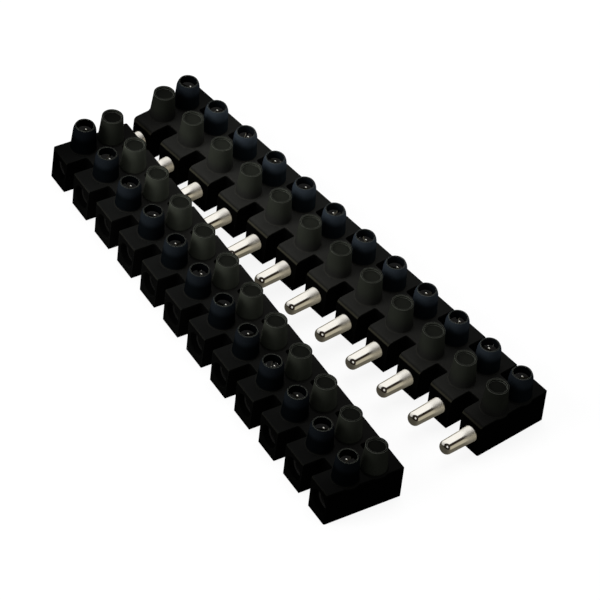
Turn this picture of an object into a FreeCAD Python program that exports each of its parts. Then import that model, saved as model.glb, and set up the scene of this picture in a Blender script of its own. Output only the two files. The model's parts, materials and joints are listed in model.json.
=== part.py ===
import FreeCAD, Part
import math
import os

V = FreeCAD.Vector

# Twelve-way plug and socket terminal strip, in millimetres.
# Origin: middle of the pin half, on its flat base. +X runs along the row of
# poles, +Y points from the pins to the wire side of the pin half, +Z is up.

# Row of poles
poles = 12
pitch = 10.0

# Moulded housing, the same outline for both halves
body_depth = 18.8
body_height = 8.6
block_foot_width = 6.2
block_crown_width = 6.6
notch_depth = 5.2
notch_corner_radius = 0.6
block_corner_radius = 0.4
end_wall_foot = 3.0
end_wall_crown = 2.8
pin_half_brow_radius = 1.2
socket_half_brow_radius = 0.7
top_edge_bevel = 0.25

# Screw towers
row_spacing = 6.9
tower_top = 15.0
tower_root_radius = 2.9
tower_root_fillet = 0.35
wire_tower_neck_radius = 2.15
wire_tower_lip_bulge = 0.27
wire_tower_lip_height = 0.6
wire_tower_shoulder_radius = 2.6
wire_tower_shoulder_drop = 1.7
mating_tower_mouth_radius = 2.38
mating_tower_rim = 0.36
mating_tower_dish_depth = 0.55

# Clamp screws, drawn backed out as supplied
screw_shank_radius = 1.5
screw_length = 5.8
screw_head_radius = 1.8
screw_head_height = 1.6
screw_head_edge = 0.2
screw_slot_width = 0.6
screw_slot_depth = 0.7
screw_point_chamfer = 0.35
screw_sunk_depth = 1.7
thread_clearance = 0.05
head_clearance = 0.12
slot_angle_step = 53.0

# Brass contacts, pushed in from the wire side
contact_axis_height = 4.3
contact_radius = 2.5
contact_clearance = 0.04
clamp_to_wire_end = 4.35
contact_end_bevel = 0.2
contact_web = 1.0
drill_point_angle = 31.0
wire_bore_radius = 1.55
wire_mouth_bevel = 0.3
mating_wall = 1.9

# Pins
pin_length = 7.9
pin_root_radius = 1.78
pin_tip_radius = 1.6
pin_nose_radius = 1.15
pin_hole_clearance = 0.04
pin_hole_mouth_radius = 2.1
pin_hole_mouth_depth = 0.3

# Sockets
socket_radius = 1.95
socket_overrun = 0.9
socket_lead_in = 2.6
socket_mouth_radius = 2.45

# The socket half lies swung off the pins about an upright axis past pole 1
swing_axis_x = -70.0
swing_axis_y = -14.4
swing_open_angle = 9.2
plugged_gap = 0.05

half_depth = body_depth / 2
first_pole_x = -(poles - 1) * pitch / 2
wire_row_y = row_spacing / 2
mating_row_y = -row_spacing / 2
pole_positions = [first_pole_x + i * pitch for i in range(poles)]
web_positions = [x + pitch / 2 for x in pole_positions[:-1]]
contact_wire_end = wire_row_y + clamp_to_wire_end
contact_stop = -half_depth + mating_wall
socket_end = -half_depth + pin_length + socket_overrun
drill_point = wire_bore_radius * math.tan(math.radians(drill_point_angle))
wire_bore_end = socket_end + contact_web + drill_point
well_radius = screw_head_radius + head_clearance
screw_top = tower_top - screw_sunk_depth
screw_seat = screw_top - screw_head_height


def revolved(points, axis_point, axis_direction):
    """Turns a closed profile of straight and three-point arc runs into a solid."""
    edges = []
    here = points[0]
    for step in points[1:]:
        if isinstance(step, tuple):
            edges.append(Part.Arc(here, step[0], step[1]).toShape())
            here = step[1]
        else:
            edges.append(Part.makeLine(here, step))
            here = step
    edges.append(Part.makeLine(here, points[0]))
    return Part.Face(Part.Wire(edges)).revolve(axis_point, axis_direction, 360)


def side_profile(brow_radius):
    """Cross-section of the bar: flat base, rounded brow along the mating side."""
    reach = -first_pole_x + pitch
    lean = brow_radius * (1 - math.sqrt(0.5))
    low = V(-reach, -half_depth, 0)
    brow_foot = V(-reach, -half_depth, body_height - brow_radius)
    brow_mid = V(-reach, -half_depth + lean, body_height - lean)
    brow_top = V(-reach, -half_depth + brow_radius, body_height)
    back_top = V(-reach, half_depth - top_edge_bevel, body_height)
    back_edge = V(-reach, half_depth, body_height - top_edge_bevel)
    back_low = V(-reach, half_depth, 0)
    outline = Part.Wire([
        Part.makeLine(low, brow_foot),
        Part.Arc(brow_foot, brow_mid, brow_top).toShape(),
        Part.makeLine(brow_top, back_top),
        Part.makeLine(back_top, back_edge),
        Part.makeLine(back_edge, back_low),
        Part.makeLine(back_low, low),
    ])
    return Part.Face(outline).extrude(V(2 * reach, 0, 0))


def slot_section(x, y, foot_width, crown_width):
    """Drafted section between two blocks, wider at the foot than at the crown."""
    over = 1.0
    lean = (foot_width - crown_width) / 2 / body_height * over
    foot = foot_width / 2 + lean
    crown = crown_width / 2 - lean
    return Part.makePolygon([
        V(x - foot, y, -over),
        V(x + foot, y, -over),
        V(x + crown, y, body_height + over),
        V(x - crown, y, body_height + over),
        V(x - foot, y, -over),
    ])


def notch(x, side):
    """Drafted notch from one long face to the web, with rounded inner corners."""
    foot = pitch - block_foot_width
    crown = pitch - block_crown_width
    floor_y = side * (half_depth - notch_depth)
    section = Part.Face(slot_section(x, floor_y, foot, crown))
    cutter = section.extrude(V(0, side * (notch_depth + 1.0), 0))
    inner = [e for e in cutter.Edges if abs(e.CenterOfMass.y - floor_y) < 1e-6 and e.Length > body_height]
    return cutter.makeFillet(notch_corner_radius, inner)


def end_trim(side):
    """Drafted end of the bar, past the last pole."""
    foot = 2 * (pitch - end_wall_foot)
    crown = 2 * (pitch - end_wall_crown)
    x = side * (-first_pole_x + pitch)
    section = Part.Face(slot_section(x, -body_depth, foot, crown))
    return section.extrude(V(0, 2 * body_depth, 0))


def wire_tower(x):
    """Bottle-shaped tower over a clamp screw."""
    y = wire_row_y
    foot_z = body_height - 0.5
    shoulder_z = tower_top - wire_tower_shoulder_drop
    flare = tower_root_radius + tower_root_fillet
    curve = tower_root_fillet * (1 - math.sqrt(0.5))
    lip_z = tower_top - wire_tower_lip_height
    lip_radius = wire_tower_neck_radius + wire_tower_lip_bulge
    return revolved([
        V(x, y, foot_z),
        V(x + flare, y, foot_z),
        V(x + flare, y, body_height),
        (V(x + tower_root_radius + curve, y, body_height + curve), V(x + tower_root_radius, y, body_height + tower_root_fillet)),
        V(x + wire_tower_shoulder_radius, y, shoulder_z),
        (V(x + lip_radius, y, lip_z), V(x + wire_tower_neck_radius, y, tower_top)),
        V(x, y, tower_top),
    ], V(x, y, 0), V(0, 0, 1))


def mating_tower(x):
    """Plain tapered tower, closed by a shallow dish."""
    y = mating_row_y
    foot_z = body_height - 0.5
    flare = tower_root_radius + tower_root_fillet
    curve = tower_root_fillet * (1 - math.sqrt(0.5))
    dish = mating_tower_mouth_radius - mating_tower_rim
    return revolved([
        V(x, y, foot_z),
        V(x + flare, y, foot_z),
        V(x + flare, y, body_height),
        (V(x + tower_root_radius + curve, y, body_height + curve), V(x + tower_root_radius, y, body_height + tower_root_fillet)),
        V(x + mating_tower_mouth_radius, y, tower_top),
        V(x + dish, y, tower_top),
        V(x + dish, y, tower_top - mating_tower_dish_depth),
        V(x, y, tower_top - mating_tower_dish_depth),
    ], V(x, y, 0), V(0, 0, 1))


def screw_well(x):
    top = tower_top + 1.0
    return Part.makeCylinder(well_radius, top - contact_axis_height, V(x, wire_row_y, contact_axis_height))


def contact_bore(x):
    """Bore that takes the brass contact, bevelled at the wire mouth."""
    z = contact_axis_height
    radius = contact_radius + contact_clearance
    mouth = radius + wire_mouth_bevel
    return revolved([
        V(x, contact_stop, z),
        V(x + radius, contact_stop, z),
        V(x + radius, half_depth - wire_mouth_bevel, z),
        V(x + mouth, half_depth, z),
        V(x + mouth, half_depth + 1.0, z),
        V(x, half_depth + 1.0, z),
    ], V(x, 0, z), V(0, 1, 0))


def pin_passage(x):
    """Hole in the mating wall for one pin, bevelled at its mouth."""
    z = contact_axis_height
    radius = pin_root_radius + pin_hole_clearance
    return revolved([
        V(x, contact_stop + 0.5, z),
        V(x + radius, contact_stop + 0.5, z),
        V(x + radius, -half_depth + pin_hole_mouth_depth, z),
        V(x + pin_hole_mouth_radius, -half_depth, z),
        V(x + pin_hole_mouth_radius, -half_depth - 1.0, z),
        V(x, -half_depth - 1.0, z),
    ], V(x, 0, z), V(0, 1, 0))


def socket_passage(x):
    """Tapered mouth in the mating wall that guides a pin into its socket."""
    z = contact_axis_height
    wall = contact_stop + half_depth
    inner = socket_mouth_radius - (socket_mouth_radius - socket_radius) * wall / socket_lead_in
    return revolved([
        V(x, contact_stop + 0.5, z),
        V(x + inner, contact_stop + 0.5, z),
        V(x + inner, contact_stop, z),
        V(x + socket_mouth_radius, -half_depth, z),
        V(x + socket_mouth_radius, -half_depth - 1.0, z),
        V(x, -half_depth - 1.0, z),
    ], V(x, 0, z), V(0, 1, 0))


def plan_block():
    """Bar with drafted ends and rounded upright corners."""
    reach = -first_pole_x + pitch
    bar = Part.makeBox(2 * reach, body_depth, body_height, V(-reach, -half_depth, 0))
    bar = bar.cut([end_trim(-1), end_trim(1)])
    corners = [e for e in bar.Edges if e.BoundBox.ZLength > body_height / 2]
    return bar.makeFillet(block_corner_radius, corners)


def housing(mating_passage, brow_radius):
    """One moulded half, wire side towards +Y, mating side towards -Y."""
    bar = plan_block().common(side_profile(brow_radius))
    bar = bar.cut([notch(x, side) for x in web_positions for side in (-1, 1)])
    towers = [wire_tower(x) for x in pole_positions] + [mating_tower(x) for x in pole_positions]
    bar = bar.fuse(towers)
    hollows = [screw_well(x) for x in pole_positions]
    hollows += [contact_bore(x) for x in pole_positions]
    hollows += [mating_passage(x) for x in pole_positions]
    return bar.cut(hollows).removeSplitter()


def clamp_bore(x):
    """Wire bore with a drilled end, and the tapped hole for the clamp screw."""
    z = contact_axis_height
    bore = revolved([
        V(x, wire_bore_end - drill_point, z),
        V(x + wire_bore_radius, wire_bore_end, z),
        V(x + wire_bore_radius, contact_wire_end + 1.0, z),
        V(x, contact_wire_end + 1.0, z),
    ], V(x, 0, z), V(0, 1, 0))
    tapped = Part.makeCylinder(screw_shank_radius + thread_clearance, contact_radius + 1.0, V(x, wire_row_y, z))
    return bore.fuse(tapped)


def pin_contact(x):
    """Turned contact of the pin half: clamp body, stop shoulder and tapered pin."""
    z = contact_axis_height
    face = -half_depth
    tip = face - pin_length
    nose = tip + pin_nose_radius
    knee = pin_tip_radius - pin_nose_radius * 0.30
    blank = revolved([
        V(x, tip, z),
        V(x + pin_tip_radius * 0.38, tip, z),
        (V(x + knee, tip + pin_nose_radius * 0.30, z), V(x + pin_tip_radius, nose, z)),
        V(x + pin_root_radius, face, z),
        V(x + pin_root_radius, contact_stop, z),
        V(x + contact_radius, contact_stop, z),
        V(x + contact_radius, contact_wire_end - contact_end_bevel, z),
        V(x + contact_radius - contact_end_bevel, contact_wire_end, z),
        V(x, contact_wire_end, z),
    ], V(x, 0, z), V(0, 1, 0))
    return blank.cut(clamp_bore(x))


def socket_contact(x):
    """Turned contact of the socket half: clamp body and plain socket with a lead-in."""
    z = contact_axis_height
    taper = socket_lead_in - (contact_stop + half_depth)
    mouth = socket_radius + (socket_mouth_radius - socket_radius) * taper / socket_lead_in
    blank = revolved([
        V(x, socket_end, z),
        V(x + socket_radius, socket_end, z),
        V(x + socket_radius, contact_stop + taper, z),
        V(x + mouth, contact_stop, z),
        V(x + contact_radius, contact_stop, z),
        V(x + contact_radius, contact_wire_end - contact_end_bevel, z),
        V(x + contact_radius - contact_end_bevel, contact_wire_end, z),
        V(x, contact_wire_end, z),
    ], V(x, 0, z), V(0, 1, 0))
    return blank.cut(clamp_bore(x))


def clamp_screw(x, angle):
    """Slotted cheese-head screw, backed out of its contact."""
    y = wire_row_y
    tip = screw_seat - screw_length
    blank = revolved([
        V(x, y, tip),
        V(x + screw_shank_radius - screw_point_chamfer, y, tip),
        V(x + screw_shank_radius, y, tip + screw_point_chamfer),
        V(x + screw_shank_radius, y, screw_seat),
        V(x + screw_head_radius, y, screw_seat),
        V(x + screw_head_radius, y, screw_top - screw_head_edge),
        V(x + screw_head_radius - screw_head_edge, y, screw_top),
        V(x, y, screw_top),
    ], V(x, y, 0), V(0, 0, 1))
    span = 2 * screw_head_radius + 1.0
    slot = Part.makeBox(span, screw_slot_width, screw_slot_depth + 1.0, V(x - span / 2, y - screw_slot_width / 2, screw_top - screw_slot_depth))
    slot.rotate(V(x, y, 0), V(0, 0, 1), angle)
    return blank.cut(slot)


def swung(shape):
    """Turns a piece end for end, plugs it on the pins and swings it open."""
    shape.rotate(V(0, 0, 0), V(0, 0, 1), 180)
    shape.translate(V(0, -body_depth - plugged_gap, 0))
    shape.rotate(V(swing_axis_x, swing_axis_y, 0), V(0, 0, 1), -swing_open_angle)
    return shape


pieces = {"pin_housing": housing(pin_passage, pin_half_brow_radius)}
pieces["socket_housing"] = swung(housing(socket_passage, socket_half_brow_radius))
for i, x in enumerate(pole_positions):
    number = "%02d" % (i + 1)
    far_x = pole_positions[poles - 1 - i]
    pieces["pin_contact_" + number] = pin_contact(x)
    pieces["pin_half_screw_" + number] = clamp_screw(x, 20 + slot_angle_step * i)
    pieces["socket_contact_" + number] = swung(socket_contact(far_x))
    pieces["socket_half_screw_" + number] = swung(clamp_screw(far_x, 70 + slot_angle_step * i))

os.makedirs("parts", exist_ok=True)
for name, shape in pieces.items():
    shape.exportStep("parts/" + name + ".step")
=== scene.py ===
"""Twelve-way plug and socket terminal strip, dressed for Blender over its packed CAD model.

The CAD nodes give the housings and the turned contacts their shape. This file gives
every piece its finish, makes the slotted clamp screws with real threads, and sets the
stage, the lamps and the camera.
"""

import json
import math

import bpy
from mathutils import Euler, Matrix, Vector

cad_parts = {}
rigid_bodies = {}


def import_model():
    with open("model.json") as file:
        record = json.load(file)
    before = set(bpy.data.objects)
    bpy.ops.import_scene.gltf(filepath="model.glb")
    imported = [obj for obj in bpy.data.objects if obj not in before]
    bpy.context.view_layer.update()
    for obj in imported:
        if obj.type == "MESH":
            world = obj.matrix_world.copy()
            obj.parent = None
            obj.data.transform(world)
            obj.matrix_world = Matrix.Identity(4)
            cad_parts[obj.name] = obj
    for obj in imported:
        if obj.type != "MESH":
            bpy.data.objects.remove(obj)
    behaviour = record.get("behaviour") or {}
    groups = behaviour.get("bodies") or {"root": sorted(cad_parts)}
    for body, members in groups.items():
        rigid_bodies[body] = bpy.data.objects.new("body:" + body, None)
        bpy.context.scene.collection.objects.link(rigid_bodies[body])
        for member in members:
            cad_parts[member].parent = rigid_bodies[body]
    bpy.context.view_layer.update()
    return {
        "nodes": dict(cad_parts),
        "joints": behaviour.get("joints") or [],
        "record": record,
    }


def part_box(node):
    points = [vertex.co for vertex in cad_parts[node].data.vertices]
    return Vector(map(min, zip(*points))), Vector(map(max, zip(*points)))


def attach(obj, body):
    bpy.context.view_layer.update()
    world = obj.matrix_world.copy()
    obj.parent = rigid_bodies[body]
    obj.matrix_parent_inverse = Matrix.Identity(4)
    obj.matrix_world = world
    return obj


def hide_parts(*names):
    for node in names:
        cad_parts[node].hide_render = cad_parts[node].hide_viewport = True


bl_info = {
    "name": "Plug and socket terminal strip",
    "version": (1, 0, 0),
    "blender": (4, 5, 0),
    "location": "3D View > Sidebar > Terminal strip",
    "description": "Dresses the packed terminal strip and sets its stage",
    "category": "Object",
}

MM = 0.001

# Where the photographer stood, in millimetres, and how the camera was turned, in degrees
CAMERA_PLACE = (443.236, -466.018, 612.090)
CAMERA_TURN = (45.787, -5.710, 49.626)

# The soft lamps: name, place, aim and size in millimetres, and power in watts
LAMPS = (
    ("overhead", (-120, 160, 520), (0, -20, 0), (420, 420), 1.6),
    ("front_fill", (-160, -460, 300), (0, -20, 5), (300, 300), 3.0),
)

# The studio as the metal mirrors it: its pale and dark bands, the direction that the bands
# follow, and the direction that the noses of the pins mirror
WHITE = (1.0, 1.0, 1.0)
PALE_BAND = (1.0, 0.99, 0.96)
DARK_BAND = (0.02, 0.015, 0.01)
SLANT = (0.6, 0.0, -0.8)
FRONT = (0.50, -0.526, 0.69)

# Where along Y, in millimetres, the painted shadow on the mirrored floor fades on its way to the pin half
FLOOR_SHADOW_FADE = (-8.0, 4.0)

# How strong the painted light and shade are on each feature of the two halves
PIN_HALF_PAINTED_LIGHT = {
    "block tops": 0.95,
    "mating towers": 0.85,
    "wire towers": 1.85,
    "dishes": 0.43,
    "near end": 0.50,
    "tower feet": 1.0,
    "top edge highlight": 0.6,
}
SOCKET_HALF_PAINTED_LIGHT = {
    "block tops": 0.49,
    "mating towers": 1.3,
    "wire towers": 0.55,
    "dishes": 0.19,
    "near end": 0.40,
    "tower feet": 0.0,
    "top edge highlight": 0.25,
}

# Heights over the floor, in millimetres, over which the painted light and shade on the plastic, and its coat,
# change
HEIGHTS = {
    "coat": (7.0, 8.4),
    "under the edge highlight": (7.3, 7.6),
    "block top": (8.0, 8.6),
    "over the edge highlight": (8.7, 8.8),
    "tower": (8.8, 9.2),
    "dish": (10.0, 12.0),
    "neck": (11.8, 13.6),
    "rim": (13.2, 14.4),
}

# Places along the row, in millimetres from its middle, over which the painted light dims towards the ends
ROW_PLACES = {
    "far end": (-61.0, -40.0),
    "near end": (-40.0, 56.0),
    "last block": (46.0, 57.0),
}

# Distances from the middle line towards the mating side, and from the middle of the nearest
# tower, in millimetres, over which the painted light and shade on the plastic change
SIDE_CHANGE = (-0.6, 0.6)
TOP_LIGHT_FADE = (-12.0, 6.0)
TOWER_FOOT = (2.62, 2.85)
WELL_WALL = (1.98, 2.08)

# Distances from the middle line, in millimetres, over which the pins' satin roots turn bright
SATIN_ROOT = (10.6, 13.4)

# How far behind its tip the nose of a pin starts to darken with painted shade, and where it is darkest
NOSE = (1.0 * MM, 0.1 * MM)

# Length over which the painted shade inside the holes gives way to bright metal, and how far in
# the bright rims of the wire ends and of the sockets reach
HOLE_SHADE_FADE = 0.3 * MM
WIRE_RIM = 0.25 * MM
MOUTH_RIM = 0.45 * MM

# Fineness of the screws' meshes
SHANK_SIDES = 28
RINGS_PER_TURN = 8
HEAD_SIDES = 48
HEAD_RINGS = 8

# Angles from here on are in degrees. Edges that bend more than this stay sharp
SHARP_BEND = 38.0

# Angle of the first screw's slot in each half and the step from one slot to the next
FIRST_SLOT = {"pin_half": 20.0, "socket_half": 240.8}
SLOT_STEP = 53.0

# Angles from the slot at which the driver's burr can lie, its distance from the middle of
# the head, and the angle of the side that catches the light
BURR_SIDES = (-52.0, 52.0, 128.0, 232.0)
BURR_REACH = 0.62 * MM
LIT_SIDE = 108.0

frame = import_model()
node_names = sorted(frame["nodes"])
screw_names = [n for n in node_names if "_screw_" in n]
pin_contact_names = [n for n in node_names if n.startswith("pin_contact_")]
socket_contact_names = [n for n in node_names if n.startswith("socket_contact_")]
body_of_node = {
    node: body
    for body, members in frame["record"]["behaviour"]["bodies"].items()
    for node in members
}


class Value:
    """A number, vector or colour in a node tree. Arithmetic on a number adds Math nodes."""

    def __init__(self, sheet, socket):
        self.sheet = sheet
        self.socket = socket

    def __add__(self, other):
        return self.sheet.maths("ADD", self, other)

    def __radd__(self, other):
        return self.sheet.maths("ADD", other, self)

    def __sub__(self, other):
        return self.sheet.maths("SUBTRACT", self, other)

    def __rsub__(self, other):
        return self.sheet.maths("SUBTRACT", other, self)

    def __mul__(self, other):
        return self.sheet.maths("MULTIPLY", self, other)

    def __rmul__(self, other):
        return self.sheet.maths("MULTIPLY", other, self)

    def __truediv__(self, other):
        return self.sheet.maths("DIVIDE", self, other)

    def __rtruediv__(self, other):
        return self.sheet.maths("DIVIDE", other, self)

    def clamped(self, low=0.0, high=1.0):
        """The number, held between low and high."""
        return self.ramp(low, high, low, high, "LINEAR")

    def ramp(self, start, end, low=0.0, high=1.0, curve="SMOOTHSTEP"):
        """Goes smoothly from low at start to high at end."""
        settings = {"interpolation_type": curve, "clamp": True}
        sockets = {"Value": self, "From Min": start, "From Max": end, "To Min": low, "To Max": high}
        return self.sheet.node("ShaderNodeMapRange", settings, sockets)

    def rise(self, span, low=0.0, high=1.0):
        """Goes smoothly from low to high over a span given in millimetres."""
        return self.ramp(span[0] * MM, span[1] * MM, low, high)


class Sheet:
    """A node tree that is filled with nodes."""

    def __init__(self, tree):
        self.tree = tree

    def node(self, kind, settings=None, sockets=None, output=0):
        """Adds a node, sets its settings, then fills its sockets with values or links."""
        made = self.tree.nodes.new(kind)
        for key, value in (settings or {}).items():
            setattr(made, key, value)
        for key, value in (sockets or {}).items():
            several = value if isinstance(value, list) else [value]
            for one in several:
                if isinstance(one, Value):
                    self.tree.links.new(one.socket, made.inputs[key])
                else:
                    made.inputs[key].default_value = one
        return Value(self, made.outputs[output])

    def maths(self, operation, first, second=0.0):
        """A Math node on one or two numbers."""
        return self.node("ShaderNodeMath", {"operation": operation}, {0: first, 1: second})

    def parts(self, vector):
        """The X, Y and Z of a vector."""
        made = self.tree.nodes.new("ShaderNodeSeparateXYZ")
        self.tree.links.new(vector.socket, made.inputs[0])
        return [Value(self, out) for out in made.outputs]


class ShaderSheet(Sheet):
    """The node tree of a material or a world."""

    def __init__(self, owner):
        owner.use_nodes = True
        super().__init__(owner.node_tree)
        self.owner = owner
        self.tree.nodes.clear()

    def place(self):
        """The place on the piece's own mesh."""
        return self.node("ShaderNodeTexCoord", output="Object")

    def noise(self, place, scale, detail=2.0, roughness=0.5):
        """Soft random spots, of a size that falls as the scale rises."""
        settings = {"noise_dimensions": "3D"}
        sockets = {"Vector": place, "Scale": scale, "Detail": detail, "Roughness": roughness}
        return self.node("ShaderNodeTexNoise", settings, sockets)

    def stretched(self, place, scale):
        """The place, scaled by its own amount along each axis."""
        return self.node("ShaderNodeMapping", {}, {"Vector": place, "Scale": scale})

    def mix(self, factor, first, second, blend="MIX"):
        """The first colour where the factor is 0 and the second where it is 1."""
        settings = {"data_type": "RGBA", "blend_type": blend}
        return self.node("ShaderNodeMix", settings, {0: factor, 6: first, 7: second}, 2)

    def scaled(self, tint, amount):
        """The tint made darker or brighter by an amount."""
        grey = self.node("ShaderNodeCombineColor", {}, {"Red": amount, "Green": amount, "Blue": amount})
        return self.mix(1.0, tint, grey, "MULTIPLY")

    def bump(self, height, strength, distance, **more):
        """Small unevenness that follows the height."""
        sockets = {"Strength": strength, "Distance": distance, "Height": height, **more}
        return self.node("ShaderNodeBump", {}, sockets)

    def either(self, factor, first, second):
        """The first shader where the factor is 0 and the second where it is 1."""
        return self.node("ShaderNodeMixShader", {}, {0: factor, 1: first, 2: second})

    def background(self, tint, strength):
        """Plain light from all around."""
        return self.node("ShaderNodeBackground", {}, {"Color": tint, "Strength": strength})

    def skin(self, sockets):
        """Ends the material in one surface shader."""
        return self.finish(self.node("ShaderNodeBsdfPrincipled", {}, sockets))

    def finish(self, shader, output="ShaderNodeOutputMaterial"):
        """Ends the tree in a shader and returns its material or world."""
        out = self.tree.nodes.new(output)
        self.tree.links.new(shader.socket, out.inputs["Surface"])
        return self.owner


class MiddleLine:
    """The middle line of one half: a point on it and the direction to the mating side."""

    def __init__(self, centre, across):
        self.centre = centre
        self.across = across

    def over(self, x, y):
        """Distance from the line, positive on the mating side."""
        return (x - self.centre[0]) * self.across[0] + (y - self.centre[1]) * self.across[1]

    def along(self, x, y):
        """Distance along the line."""
        return (x - self.centre[0]) * self.across[1] - (y - self.centre[1]) * self.across[0]


def colour(rgb):
    """A colour with its alpha, as sockets take it."""
    return (rgb[0], rgb[1], rgb[2], 1.0)


def reach(parts, direction):
    """How far a vector, given as its parts, points in a direction."""
    return parts[0] * direction[0] + parts[1] * direction[1] + parts[2] * direction[2]


def dress(obj, material):
    """Gives every face of an object one material."""
    obj.data.materials.clear()
    obj.data.materials.append(material)


class TerminalPlasticSettings(bpy.types.PropertyGroup):
    """Moulded housing plastic, with its painted light and shade."""

    base: bpy.props.FloatVectorProperty(
        name="Plastic",
        description="Colour of the moulded blocks",
        subtype="COLOR",
        size=3,
        min=0.0,
        max=1.0,
        default=(0.0016, 0.0016, 0.0015),
    )
    edge: bpy.props.FloatVectorProperty(
        name="Block edges",
        description="Painted highlight on the rounded edges of the blocks",
        subtype="COLOR",
        size=3,
        min=0.0,
        max=1.0,
        default=(0.0105, 0.0105, 0.0100),
    )
    crown: bpy.props.FloatVectorProperty(
        name="Block tops",
        description="Painted light on the tops of the blocks",
        subtype="COLOR",
        size=3,
        min=0.0,
        max=1.0,
        default=(0.0170, 0.0170, 0.0155),
    )
    crown_back: bpy.props.FloatVectorProperty(
        name="Block tops, wire side",
        description="Painted light on the tops of the blocks, dimmer towards the wire side",
        subtype="COLOR",
        size=3,
        min=0.0,
        max=1.0,
        default=(0.0085, 0.0090, 0.0085),
    )
    mating: bpy.props.FloatVectorProperty(
        name="Mating towers",
        description="Painted light on the towers on the mating side",
        subtype="COLOR",
        size=3,
        min=0.0,
        max=1.0,
        default=(0.0240, 0.0262, 0.0205),
    )
    wire: bpy.props.FloatVectorProperty(
        name="Wire towers",
        description="Painted light on the towers on the wire side",
        subtype="COLOR",
        size=3,
        min=0.0,
        max=1.0,
        default=(0.0026, 0.0036, 0.0044),
    )
    wire_neck: bpy.props.FloatVectorProperty(
        name="Wire tower necks",
        description="Painted light on the necks of the towers on the wire side",
        subtype="COLOR",
        size=3,
        min=0.0,
        max=1.0,
        default=(0.0105, 0.0135, 0.0170),
    )
    rim: bpy.props.FloatVectorProperty(
        name="Rims",
        description="Painted highlight on the rounded rims of the towers",
        subtype="COLOR",
        size=3,
        min=0.0,
        max=1.0,
        default=(0.085, 0.090, 0.076),
    )
    painted_edge_highlight: bpy.props.FloatVectorProperty(
        name="Top edge highlight",
        description="Painted highlight along the top edges of the blocks",
        subtype="COLOR",
        size=3,
        min=0.0,
        max=1.0,
        default=(0.045, 0.043, 0.030),
    )
    roughness: bpy.props.FloatProperty(
        name="Roughness",
        description="Roughness of the moulded skin",
        subtype="FACTOR",
        min=0.0,
        max=1.0,
        default=0.46,
    )
    edge_radius: bpy.props.FloatProperty(
        name="Edge radius",
        description="Radius that the mould leaves on every edge",
        subtype="DISTANCE",
        unit="LENGTH",
        min=0.0,
        default=0.16 * MM,
    )


class TerminalContactSettings(bpy.types.PropertyGroup):
    """Turned and plated contacts."""

    plating: bpy.props.FloatVectorProperty(
        name="Plating",
        description="Colour of the nickel plating",
        subtype="COLOR",
        size=3,
        min=0.0,
        max=1.0,
        default=(0.95, 0.93, 0.89),
    )
    brass: bpy.props.FloatVectorProperty(
        name="Brass",
        description="Colour of the metal that shows through where the plating is thin",
        subtype="COLOR",
        size=3,
        min=0.0,
        max=1.0,
        default=(0.72, 0.64, 0.46),
    )
    roughness: bpy.props.FloatProperty(
        name="Roughness",
        description="Roughness of the plating",
        subtype="FACTOR",
        min=0.0,
        max=1.0,
        default=0.11,
    )
    mating_wall: bpy.props.FloatProperty(
        name="Mating wall",
        description="Plastic in front of the sockets, behind which their bright rims lie",
        subtype="DISTANCE",
        unit="LENGTH",
        min=0.0,
        default=1.9 * MM,
    )


class TerminalScrewSettings(bpy.types.PropertyGroup):
    """Slotted clamp screws."""

    thread_pitch: bpy.props.FloatProperty(
        name="Thread pitch",
        description="Rise of the thread in one turn",
        subtype="DISTANCE",
        unit="LENGTH",
        min=0.0001,
        default=0.5 * MM,
    )
    thread_depth: bpy.props.FloatProperty(
        name="Thread depth",
        description="Height of the thread's crest over its root",
        subtype="DISTANCE",
        unit="LENGTH",
        min=0.0,
        default=0.24 * MM,
    )
    shank_radius: bpy.props.FloatProperty(
        name="Shank radius",
        description="Radius over the crests of the thread",
        subtype="DISTANCE",
        unit="LENGTH",
        min=0.0001,
        default=1.5 * MM,
    )
    head_height: bpy.props.FloatProperty(
        name="Head height",
        description="Height of the cheese head",
        subtype="DISTANCE",
        unit="LENGTH",
        min=0.0001,
        default=1.6 * MM,
    )
    slot_depth: bpy.props.FloatProperty(
        name="Slot depth",
        description="Depth of the driver slot",
        subtype="DISTANCE",
        unit="LENGTH",
        min=0.0001,
        default=0.7 * MM,
    )
    slot_width: bpy.props.FloatProperty(
        name="Slot width",
        description="Width of the driver slot",
        subtype="DISTANCE",
        unit="LENGTH",
        min=0.0001,
        default=0.6 * MM,
    )
    burr_radius: bpy.props.FloatProperty(
        name="Burr radius",
        description="Size of the bright burr that the driver leaves on the head",
        subtype="DISTANCE",
        unit="LENGTH",
        min=0.0,
        default=0.2 * MM,
    )
    steel: bpy.props.FloatVectorProperty(
        name="Steel",
        description="Colour of the steel, painted nearly black as shade of the wells",
        subtype="COLOR",
        size=3,
        min=0.0,
        max=1.0,
        default=(0.006, 0.006, 0.006),
    )
    bare_and_glint: bpy.props.FloatVectorProperty(
        name="Bare steel and painted glints",
        description="Colour of the spots worn bright by the driver, which also give painted glints",
        subtype="COLOR",
        size=3,
        min=0.0,
        max=1.0,
        default=(0.95, 0.95, 0.92),
    )


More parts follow.
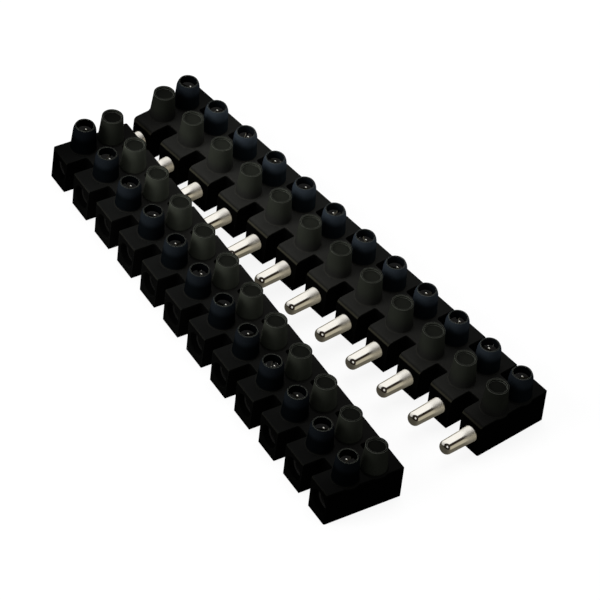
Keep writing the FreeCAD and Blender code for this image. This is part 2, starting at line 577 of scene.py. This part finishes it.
class TerminalStageSettings(bpy.types.PropertyGroup):
    """Floor, lamps and camera."""

    floor: bpy.props.FloatVectorProperty(
        name="Floor",
        description="Colour of the floor",
        subtype="COLOR",
        size=3,
        min=0.0,
        max=1.0,
        default=(0.86, 0.86, 0.86),
    )
    mirrored: bpy.props.FloatVectorProperty(
        name="Mirrored surroundings",
        description="Colour of the floor and the right side of the studio as the metal mirrors them",
        subtype="COLOR",
        size=3,
        min=0.0,
        max=1.0,
        default=(0.45, 0.415, 0.32),
    )
    whiteness: bpy.props.FloatProperty(
        name="Whiteness",
        description="How far the floor is lifted to plain white for the camera",
        subtype="FACTOR",
        min=0.0,
        max=1.0,
        default=0.88,
    )
    ambient: bpy.props.FloatProperty(
        name="Ambient light",
        description="Strength of the soft light from all sides",
        min=0.0,
        default=0.7,
    )
    focal_length: bpy.props.FloatProperty(
        name="Focal length",
        description="Focal length of the camera in millimetres",
        unit="CAMERA",
        min=10.0,
        default=245.67,
    )


SETTINGS = {
    "terminal_plastic": TerminalPlasticSettings,
    "terminal_contact": TerminalContactSettings,
    "terminal_screw": TerminalScrewSettings,
    "terminal_stage": TerminalStageSettings,
}


def tower_radius(sheet, along, over):
    """Distance from the middle of the nearest tower, in both rows."""
    first, second = (sum(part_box(name), Vector()) / 2 for name in screw_names[:2])
    pitch = abs(second.x - first.x)
    from_pole = pitch / 2 - sheet.maths("PINGPONG", along, pitch / 2)
    from_row = sheet.maths("ABSOLUTE", over) - first.y
    return sheet.maths("SQRT", from_pole * from_pole + from_row * from_row)


def moulded_plastic(name, settings, line, painted_light_of):
    """Black moulded plastic of one half, with painted light and shade: paler tops and towers, and painted
    highlights on the rims and edges.

    line is the half's middle line, and painted_light_of scales the painted light and shade on each feature.
    """
    sheet = ShaderSheet(bpy.data.materials.new(name))
    place = sheet.place()
    x, y, z = sheet.parts(place)
    over = line.over(x, y)
    radius = tower_radius(sheet, line.along(x, y), over)
    mating_side = over.rise(SIDE_CHANGE)
    bloom = sheet.noise(place, scale=260.0, detail=3.0, roughness=0.55)
    cloud = sheet.noise(place, scale=45.0, detail=2.0, roughness=0.5)
    grain = sheet.noise(place, scale=9000.0, detail=2.0, roughness=0.6)
    edges = sheet.node("ShaderNodeBevel", {"samples": 6}, {"Radius": settings.edge_radius})
    true_normal = sheet.node("ShaderNodeNewGeometry", output="True Normal")
    flatness = sheet.node(
        "ShaderNodeVectorMath",
        {"operation": "DOT_PRODUCT"},
        {0: edges, 1: true_normal},
        "Value",
    )
    rounding = (1.0 - flatness).ramp(0.015, 0.16)
    level = sheet.parts(edges)[2]

    # Painted light: the towers are painted lighter than the blocks, the mating towers greenish and the wire
    # towers bluish, with paler necks
    neck = sheet.mix(z.rise(HEIGHTS["neck"]), colour(settings.wire), colour(settings.wire_neck))
    neck = sheet.scaled(neck, painted_light_of["wire towers"])
    plain = sheet.scaled(colour(settings.mating), painted_light_of["mating towers"])
    towers = sheet.mix(mating_side, neck, plain)
    # Painted light on the block tops, brighter towards the mating side
    tops = sheet.mix(over.rise(TOP_LIGHT_FADE), colour(settings.crown_back), colour(settings.crown))
    tops = sheet.scaled(tops, painted_light_of["block tops"])
    # Painted shade: the feet of the mating towers take the darker colour of the block tops
    foot = radius.rise(TOWER_FOOT, 0.0, painted_light_of["tower feet"]) * mating_side
    raised = sheet.mix(z.rise(HEIGHTS["tower"]) * (1.0 - foot), tops, towers)
    # Painted highlight on the rounded edges of the blocks
    block = sheet.mix(rounding * 0.7, colour(settings.base), colour(settings.edge))
    base = sheet.mix(z.rise(HEIGHTS["block top"]), block, raised)

    # Painted highlight along the rounded top edges of the blocks
    painted_edge_highlight = level.ramp(0.25, 0.4) * level.ramp(0.55, 0.75, 1.0, 0.0)
    painted_edge_highlight = painted_edge_highlight * z.rise(HEIGHTS["under the edge highlight"])
    painted_edge_highlight = painted_edge_highlight * z.rise(HEIGHTS["over the edge highlight"], 1.0, 0.0)
    base = sheet.mix(painted_edge_highlight * painted_light_of["top edge highlight"], base, colour(settings.painted_edge_highlight))

    # Painted shade: darker at the far end, dimming towards the near end and darker still on the last block
    far_end = x.rise(ROW_PLACES["far end"], 0.16, 1.0)
    near_end = x.rise(ROW_PLACES["near end"], 1.0, painted_light_of["near end"])
    last_block = x.rise(ROW_PLACES["last block"], 1.0, 0.40)
    # Painted shade in the dishes on top of the towers and in the wells of the wire towers; the noise adds a
    # random tone
    dish = 1.0 - level.ramp(0.8, 1.0) * z.rise(HEIGHTS["dish"]) * (1.0 - painted_light_of["dishes"])
    well = 1.0 - radius.rise(WELL_WALL, 0.8, 0.0) * (1.0 - mating_side)
    shade = (0.78 + bloom * 0.44) * far_end * near_end * last_block * dish * well
    base = sheet.scaled(base, shade)
    # Painted highlight on the rounded rims of the towers
    lit_rim = rounding * z.rise(HEIGHTS["rim"]) * (0.35 + bloom * 0.9)
    base = sheet.mix(lit_rim.clamped(), base, colour(settings.rim))

    roughness = settings.roughness + (cloud - 0.5) * 0.16 + (grain - 0.5) * 0.08
    return sheet.skin(
        {
            "Base Color": base,
            "Roughness": roughness.clamped(0.2, 0.8),
            "Normal": sheet.bump(grain, 0.12, 0.02 * MM, Normal=edges),
            "Specular IOR Level": 0.0,
            "Coat Weight": level.ramp(0.2, 0.9) * z.rise(HEIGHTS["coat"]) * 0.03,
            "Coat Roughness": 0.3,
        }
    )


def turned_metal(name, settings, line, mating_end, wire_end, nose):
    """Plated turned metal: bright pins, satin towards the housing and painted shade, nearly black, inside it.

    line is the middle line of the contacts' half. mating_end and wire_end each hold how far
    from it that end comes out of the painted shade and how bright it is, and nose is where
    a painted shade darkens a pin towards its tip.
    """
    sheet = ShaderSheet(bpy.data.materials.new(name))
    place = sheet.place()
    x, y = sheet.parts(place)[:2]
    over = line.over(x, y)
    turned = sheet.stretched(place, (60.0, 9000.0, 60.0))
    rings = sheet.noise(turned, scale=1.0, detail=2.0, roughness=0.6)
    haze = sheet.noise(place, scale=700.0, detail=3.0, roughness=0.6)
    satin = over.rise(SATIN_ROOT, 0.42, 0.0)
    # Painted shade: inside the housing the metal is painted nearly black and dull, and bright only at its
    # rims
    bright = over.ramp(mating_end[0], mating_end[0] + HOLE_SHADE_FADE, 0.0, mating_end[1])
    bright = bright + over.ramp(wire_end[0] - HOLE_SHADE_FADE, wire_end[0], wire_end[1], 0.0)
    plated = sheet.mix(haze.ramp(0.3, 0.8) * 0.15, colour(settings.plating), colour(settings.brass))
    # Painted shade that darkens the nose of a pin towards its tip
    painted_nose_shade = over.ramp(nose[0], nose[1], 1.0, 0.5)
    roughness = settings.roughness + satin + (haze - 0.5) * 0.05 + (rings - 0.5) * 0.03
    return sheet.skin(
        {
            "Base Color": sheet.scaled(plated, (0.005 + bright * 0.995) * painted_nose_shade),
            "Metallic": bright.ramp(0.0, 0.3),
            "Roughness": roughness.clamped(0.06, 0.6),
            "Specular IOR Level": 0.0,
            "Normal": sheet.bump(rings, 0.02, 0.004 * MM),
        }
    )


def screw_steel(settings):
    """Steel painted nearly black as shade of the wells, with small bright spots that are partly wear and
    partly painted glints.
    """
    sheet = ShaderSheet(bpy.data.materials.new("screw_steel"))
    rubbed = sheet.stretched(sheet.place(), (2500.0, 900.0, 2500.0))
    scuffs_and_glints = sheet.noise(rubbed, scale=1.0, detail=3.0, roughness=0.6)
    # The bright spots are partly wear and partly painted glints on the steel, which is painted nearly black
    # as shade of the wells
    return sheet.skin(
        {
            "Base Color": sheet.mix(scuffs_and_glints.ramp(0.69, 0.74), colour(settings.steel), colour(settings.bare_and_glint)),
            "Metallic": 1.0,
            "Roughness": 0.24 + scuffs_and_glints * 0.22,
            "Normal": sheet.bump(scuffs_and_glints, 0.2, 0.01 * MM),
        }
    )


def bare_steel(settings):
    """Steel worn bright."""
    sheet = ShaderSheet(bpy.data.materials.new("bare_steel"))
    wear = sheet.noise(sheet.place(), scale=3000.0, detail=2.0, roughness=0.5)
    return sheet.skin(
        {
            "Base Color": sheet.mix(wear.ramp(0.3, 0.8) * 0.3, colour(settings.bare_and_glint), colour(settings.steel)),
            "Metallic": 1.0,
            "Roughness": 0.15 + wear * 0.1,
        }
    )


def pin_half_line():
    """The pin half lies along X, with its mating side towards -Y."""
    return MiddleLine((0.0, 0.0), (0.0, -1.0))


def socket_half_line():
    """The socket half lies turned from the pin half by the whole range of its swing."""
    middle = [(a + b) / 2 for a, b in zip(*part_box("socket_housing"))]
    swing = next(joint for joint in frame["joints"] if joint["name"] == "plug_swing")
    turn = math.radians(swing["range_deg"][1])
    return MiddleLine(middle, (math.sin(turn), math.cos(turn)))


class TERMINAL_OT_housings(bpy.types.Operator):
    """Gives both moulded housings their plastic"""

    bl_idname = "terminal.housings"
    bl_label = "Housings"

    def execute(self, context):
        settings = context.scene.terminal_plastic
        pin_half = moulded_plastic("pin_half_plastic", settings, pin_half_line(), PIN_HALF_PAINTED_LIGHT)
        socket_half = moulded_plastic("socket_half_plastic", settings, socket_half_line(), SOCKET_HALF_PAINTED_LIGHT)
        dress(frame["nodes"]["pin_housing"], pin_half)
        dress(frame["nodes"]["socket_housing"], socket_half)
        return {"FINISHED"}


class TERMINAL_OT_contacts(bpy.types.Operator):
    """Gives the turned contacts their metal"""

    bl_idname = "terminal.contacts"
    bl_label = "Contacts"

    def execute(self, context):
        settings = context.scene.terminal_contact
        face = -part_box("pin_housing")[0].y
        pin_low, pin_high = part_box(pin_contact_names[0])
        tip = -pin_low.y
        nose = (tip - NOSE[0], tip - NOSE[1])
        wire_rim = WIRE_RIM - pin_high.y
        # Painted shade inside the housing: the pins are bright from the face out and half bright at their
        # wire ends; the sockets are half bright at their mouths and dark at their wire ends
        pin_metal = turned_metal(
            "pin_contact_metal",
            settings,
            pin_half_line(),
            (face - HOLE_SHADE_FADE, 1.0),
            (wire_rim, 0.5),
            nose,
        )
        socket_metal = turned_metal(
            "socket_contact_metal",
            settings,
            socket_half_line(),
            (face - settings.mating_wall - MOUTH_RIM, 0.5),
            (wire_rim, 0.0),
            nose,
        )
        for name in pin_contact_names:
            dress(frame["nodes"][name], pin_metal)
        for name in socket_contact_names:
            dress(frame["nodes"][name], socket_metal)
        return {"FINISHED"}


class GeometrySheet(Sheet):
    """A Geometry Nodes tree with named inputs."""

    def __init__(self, name, inputs):
        super().__init__(bpy.data.node_groups.new(name, "GeometryNodeTree"))
        self.identifiers = {}
        for label, kind in inputs:
            socket = self.tree.interface.new_socket(label, in_out="INPUT", socket_type=kind)
            self.identifiers[label] = socket.identifier
        self.tree.interface.new_socket("Geometry", in_out="OUTPUT", socket_type="NodeSocketGeometry")
        self.entry = self.tree.nodes.new("NodeGroupInput")

    def given(self, label):
        """One of the tree's inputs."""
        return Value(self, self.entry.outputs[label])

    def vector(self, x, y, z):
        """A vector from its three parts."""
        return self.node("ShaderNodeCombineXYZ", {}, {"X": x, "Y": y, "Z": z})

    def place(self):
        """The X, Y and Z of each point."""
        return self.parts(self.node("GeometryNodeInputPosition"))

    def cylinder(self, sides, rings, radius, depth):
        """A cylinder about the origin, closed at both ends."""
        sockets = {"Vertices": sides, "Side Segments": rings, "Radius": radius, "Depth": depth}
        return self.node("GeometryNodeMeshCylinder", {"fill_type": "NGON"}, sockets)

    def reshaped(self, shape, place):
        """A shape with each of its points in a new place."""
        return self.node("GeometryNodeSetPosition", {}, {"Geometry": shape, "Position": place})

    def moved(self, shape, place, **more):
        """A shape moved to its place, and turned or scaled where more says so."""
        sockets = {"Geometry": shape, "Translation": place, **more}
        return self.node("GeometryNodeTransform", {}, sockets)

    def joined(self, shapes):
        """Several shapes as one."""
        return self.node("GeometryNodeJoinGeometry", {}, {"Geometry": shapes})

    def creased(self, shape, sharp_bend):
        """A shape with smooth faces and sharp edges where it bends more than so many degrees."""
        gentle = self.node(
            "FunctionNodeCompare",
            {"data_type": "FLOAT", "operation": "LESS_THAN"},
            {0: self.node("GeometryNodeInputMeshEdgeAngle"), 1: math.radians(sharp_bend)},
        )
        smooth = self.node("GeometryNodeSetShadeSmooth", {"domain": "FACE"}, {"Geometry": shape})
        sockets = {"Geometry": smooth, "Shade Smooth": gentle}
        return self.node("GeometryNodeSetShadeSmooth", {"domain": "EDGE"}, sockets)

    def finish(self, shape):
        """Ends the tree in a shape."""
        out = self.tree.nodes.new("NodeGroupOutput")
        self.tree.links.new(shape.socket, out.inputs["Geometry"])

    def grown(self, tree_name, place, values):
        """Evaluates the tree on an empty object and returns its plain mesh, moved to its place."""
        carrier = bpy.data.objects.new(tree_name, bpy.data.meshes.new(tree_name))
        bpy.context.scene.collection.objects.link(carrier)
        modifier = carrier.modifiers.new(tree_name, "NODES")
        modifier.node_group = self.tree
        for label, value in values.items():
            modifier[self.identifiers[label]] = value
        seen = carrier.evaluated_get(bpy.context.evaluated_depsgraph_get())
        mesh = bpy.data.meshes.new_from_object(seen)
        bpy.data.objects.remove(carrier)
        # The shapes that the nodes make come with an empty slot before their materials
        if mesh.materials[0] is None:
            mesh.materials.pop(index=0)
        mesh.transform(Matrix.Translation(place))
        return mesh


def threaded_shank(sheet):
    """Shank with a helical thread and a blunt tip, from the origin down -Z."""
    radius = sheet.given("Shank radius")
    half_length = sheet.given("Shank length") * 0.5
    pitch = sheet.given("Thread pitch")
    depth = sheet.given("Thread depth")
    blank = sheet.cylinder(SHANK_SIDES, sheet.given("Thread rings"), radius, sheet.given("Shank length"))
    x, y, z = sheet.place()
    turns = z / pitch + sheet.maths("ARCTAN2", y, x) / (2 * math.pi)
    phase = sheet.maths("FRACT", turns + 100.0)
    crest = sheet.maths("MINIMUM", sheet.maths("ABSOLUTE", phase * 2.0 - 1.0) * 1.25, 1.0)
    fade_length = pitch * 1.2
    from_ends = sheet.maths("MINIMUM", (z + half_length) / fade_length, (half_length - z) / fade_length)
    fade = sheet.maths("MINIMUM", from_ends, 1.0)
    blunt = sheet.maths("MAXIMUM", depth * 1.6 - (z + half_length), 0.0)
    sunk = depth * (1.0 - crest * fade) + blunt * 0.7
    narrow = (radius - sunk) / radius
    threaded = sheet.reshaped(blank, sheet.vector(x * narrow, y * narrow, z))
    return sheet.moved(threaded, sheet.vector(0.0, 0.0, sheet.given("Shank length") * -0.5))


def slotted_head(sheet):
    """Cheese head with a small domed edge and a driver slot, from the origin up."""
    radius = sheet.given("Head radius")
    height = sheet.given("Head height")
    blank = sheet.cylinder(HEAD_SIDES, HEAD_RINGS, radius, height)
    x, y, z = sheet.place()
    above = sheet.maths("MAXIMUM", z / height - 0.25, 0.0)
    shrink = 1.0 - above * above * 1.3
    domed = sheet.reshaped(blank, sheet.vector(x * shrink, y * shrink, z))
    head = sheet.moved(domed, sheet.vector(0.0, 0.0, height * 0.5))
    blade_size = sheet.vector(radius * 3.0, sheet.given("Slot width"), sheet.given("Slot depth") * 2.0)
    blade = sheet.moved(
        sheet.node("GeometryNodeMeshCube", {}, {"Size": blade_size}),
        sheet.vector(0.0, 0.0, height),
        Rotation=sheet.vector(0.0, 0.0, sheet.given("Slot angle")),
    )
    settings = {"operation": "DIFFERENCE", "solver": "EXACT"}
    return sheet.node("GeometryNodeMeshBoolean", settings, {"Mesh 1": head, "Mesh 2": blade})


def driver_burr(sheet, bare_and_glint):
    """Small bright burr that the driver has raised beside the slot."""
    sockets = {"Segments": 14, "Rings": 8, "Radius": sheet.given("Burr radius")}
    burr = sheet.node("GeometryNodeMeshUVSphere", {}, sockets)
    burr = sheet.moved(burr, sheet.given("Burr place"), Scale=(1.2, 0.8, 0.6))
    return sheet.node("GeometryNodeSetMaterial", {}, {"Geometry": burr, "Material": bare_and_glint})


def screw_tree(steel, bare_and_glint):
    """Slotted cheese-head screw, its seat under the head at the origin and its shank down -Z."""
    lengths = ("Shank radius", "Shank length", "Thread pitch", "Thread depth", "Head radius")
    lengths += ("Head height", "Slot width", "Slot depth", "Slot angle", "Burr radius")
    inputs = [(label, "NodeSocketFloat") for label in lengths]
    inputs.append(("Burr place", "NodeSocketVector"))
    inputs.append(("Thread rings", "NodeSocketInt"))
    sheet = GeometrySheet("slotted_screw", inputs)
    body = sheet.joined([slotted_head(sheet), threaded_shank(sheet)])
    screw = sheet.creased(sheet.joined([body, driver_burr(sheet, bare_and_glint)]), SHARP_BEND)
    screw = sheet.node("GeometryNodeRealizeInstances", {}, {"Geometry": screw})
    is_bare = sheet.node("GeometryNodeMaterialSelection", {}, {"Material": bare_and_glint})
    not_bare = sheet.node("FunctionNodeBooleanMath", {"operation": "NOT"}, {0: is_bare})
    sockets = {"Geometry": screw, "Selection": not_bare, "Material": steel}
    sheet.finish(sheet.node("GeometryNodeSetMaterial", {}, sockets))
    return sheet


def slot_angle(name):
    """Every screw stands at its own angle, one step on from its neighbour."""
    half, number = name.split("_screw_")
    return FIRST_SLOT[half] + SLOT_STEP * (int(number) - 1)


def off_the_light(angle):
    """Degrees between an angle and the side of the heads that catches the light."""
    return abs((angle - LIT_SIDE + 180.0) % 360.0 - 180.0)


def burr_place(angle, head_height):
    """Where the driver has raised the burr: on the lit side of the head, clear of the slot."""
    turn = math.radians(min((angle + side for side in BURR_SIDES), key=off_the_light))
    return (BURR_REACH * math.cos(turn), BURR_REACH * math.sin(turn), head_height)


class TERMINAL_OT_screws(bpy.types.Operator):
    """Makes the slotted clamp screws with their threads"""

    bl_idname = "terminal.screws"
    bl_label = "Clamp screws"

    def execute(self, context):
        settings = context.scene.terminal_screw
        tree = screw_tree(screw_steel(settings), bare_steel(settings))
        for name in screw_names:
            low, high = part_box(name)
            middle = (low + high) / 2
            seat = Vector((middle.x, middle.y, high.z - settings.head_height))
            shank_length = seat.z - low.z
            values = {
                "Shank radius": settings.shank_radius,
                "Shank length": shank_length,
                "Thread pitch": settings.thread_pitch,
                "Thread depth": settings.thread_depth,
                "Head radius": (high.x - low.x) / 2,
                "Head height": settings.head_height,
                "Slot width": settings.slot_width,
                "Slot depth": settings.slot_depth,
                "Slot angle": math.radians(slot_angle(name)),
                "Burr radius": settings.burr_radius,
                "Burr place": burr_place(slot_angle(name), settings.head_height),
                "Thread rings": int(round(shank_length / settings.thread_pitch * RINGS_PER_TURN)),
            }
            mesh = tree.grown(name + "_slotted", seat, values)
            screw = bpy.data.objects.new(name + "_slotted", mesh)
            context.scene.collection.objects.link(screw)
            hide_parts(name)
            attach(screw, body_of_node[name])
        return {"FINISHED"}


def area_lamp(name, place, aim, size, power):
    """Soft rectangular lamp at a place, turned to its aim, in millimetres and watts."""
    data = bpy.data.lights.new(name, "AREA")
    data.shape = "RECTANGLE"
    data.size = size[0] * MM
    data.size_y = size[1] * MM
    data.energy = power
    lamp = bpy.data.objects.new(name, data)
    bpy.context.scene.collection.objects.link(lamp)
    lamp.visible_glossy = False
    lamp.location = Vector(place) * MM
    lamp.rotation_euler = (Vector(aim) - Vector(place)).to_track_quat("-Z", "Y").to_euler()


def photo_camera(focal_length):
    """Camera that looks from where the photographer stood."""
    data = bpy.data.cameras.new("photo_camera")
    data.sensor_width = 36.0
    data.lens = focal_length
    data.clip_start = 0.01
    data.clip_end = 20.0
    camera = bpy.data.objects.new("photo_camera", data)
    bpy.context.scene.collection.objects.link(camera)
    camera.location = Vector(CAMERA_PLACE) * MM
    camera.rotation_euler = Euler([math.radians(a) for a in CAMERA_TURN], "XYZ")
    bpy.context.scene.camera = camera


def floor_material(settings):
    """Pale floor that reads as white, keeps a soft shadow and looks tan in the metal.

    For glossy rays it glows tan, a painted reflection, and a painted shadow darkens the tan where the socket
    half lies.
    """
    sheet = ShaderSheet(bpy.data.materials.new("pale_floor"))
    diffuse = sheet.node("ShaderNodeBsdfDiffuse", {}, {"Color": colour(settings.floor)})
    glow = sheet.node("ShaderNodeEmission", {}, {"Color": colour(WHITE), "Strength": 1.0})
    camera = sheet.node("ShaderNodeLightPath", output="Is Camera Ray")
    glossy = sheet.node("ShaderNodeLightPath", output="Is Glossy Ray")
    y = sheet.parts(sheet.place())[1]
    # Painted shadow: the floor as the metal mirrors it is darker towards the socket half
    tan = sheet.scaled(colour(settings.mirrored), y.rise(FLOOR_SHADOW_FADE, 0.27, 1.0))
    tan = sheet.node("ShaderNodeEmission", {}, {"Color": tan, "Strength": 1.0})
    lit = sheet.either(camera * settings.whiteness, diffuse, glow)
    return sheet.finish(sheet.either(glossy, lit, tan))


def white_world(settings):
    """World that lights softly, shows white behind the object and gives the metal its bands."""
    sheet = ShaderSheet(bpy.data.worlds.new("studio"))
    direction = sheet.parts(sheet.node("ShaderNodeTexCoord", output="Generated"))
    slant = reach(direction, SLANT)
    bands = sheet.mix(slant.ramp(-0.56, -0.42), colour(PALE_BAND), colour(DARK_BAND))
    bands = sheet.mix(slant.ramp(-0.04, 0.16), bands, colour(settings.mirrored))
    front = reach(direction, FRONT)
    bands = sheet.mix(front.ramp(0.48, 0.62), bands, colour(DARK_BAND))
    bands = sheet.mix(front.ramp(0.955, 0.975), bands, colour(PALE_BAND))
    soft = sheet.background(colour(WHITE), settings.ambient)
    studio = sheet.background(bands, 1.0)
    white = sheet.background(colour(WHITE), 1.0)
    camera = sheet.node("ShaderNodeLightPath", output="Is Camera Ray")
    glossy = sheet.node("ShaderNodeLightPath", output="Is Glossy Ray")
    seen = sheet.either(camera, sheet.either(glossy, soft, studio), white)
    return sheet.finish(seen, "ShaderNodeOutputWorld")


class TERMINAL_OT_stage(bpy.types.Operator):
    """Makes the floor, the lamps and the camera"""

    bl_idname = "terminal.stage"
    bl_label = "Stage"

    def execute(self, context):
        settings = context.scene.terminal_stage
        context.scene.world = white_world(settings)
        # The pins mirror the studio and not the black plastic beside them
        for piece in bpy.data.objects:
            piece.visible_glossy = False
        bpy.ops.mesh.primitive_plane_add(size=4.0, location=(0.0, 0.0, 0.0))
        floor = context.active_object
        floor.name = "floor"
        dress(floor, floor_material(settings))
        for lamp in LAMPS:
            area_lamp(*lamp)
        photo_camera(settings.focal_length)
        return {"FINISHED"}


class TERMINAL_PT_panel(bpy.types.Panel):
    """Lists the terminal strip's pieces and settings"""

    bl_idname = "TERMINAL_PT_panel"
    bl_label = "Terminal strip"
    bl_space_type = "VIEW_3D"
    bl_region_type = "UI"
    bl_category = "Terminal strip"

    def draw(self, context):
        for name, group in SETTINGS.items():
            box = self.layout.box()
            box.label(text=group.__doc__)
            for prop in group.__annotations__:
                box.prop(getattr(context.scene, name), prop)
        for operator in OPERATORS:
            self.layout.operator(operator.bl_idname)


OPERATORS = (
    TERMINAL_OT_housings,
    TERMINAL_OT_contacts,
    TERMINAL_OT_screws,
    TERMINAL_OT_stage,
)


def register():
    """Registers the settings, the operators and the panel."""
    for name, group in SETTINGS.items():
        bpy.utils.register_class(group)
        setattr(bpy.types.Scene, name, bpy.props.PointerProperty(type=group))
    for operator in OPERATORS:
        bpy.utils.register_class(operator)
    bpy.utils.register_class(TERMINAL_PT_panel)


def unregister():
    """Takes the panel, the operators and the settings out again."""
    bpy.utils.unregister_class(TERMINAL_PT_panel)
    for operator in reversed(OPERATORS):
        bpy.utils.unregister_class(operator)
    for name, group in reversed(list(SETTINGS.items())):
        delattr(bpy.types.Scene, name)
        bpy.utils.unregister_class(group)


def main():
    """Dresses the strip and sets the stage."""
    register()
    bpy.context.scene.view_settings.view_transform = "Standard"
    bpy.ops.terminal.housings()
    bpy.ops.terminal.contacts()
    bpy.ops.terminal.screws()
    bpy.ops.terminal.stage()


if __name__ == "__main__":
    main()
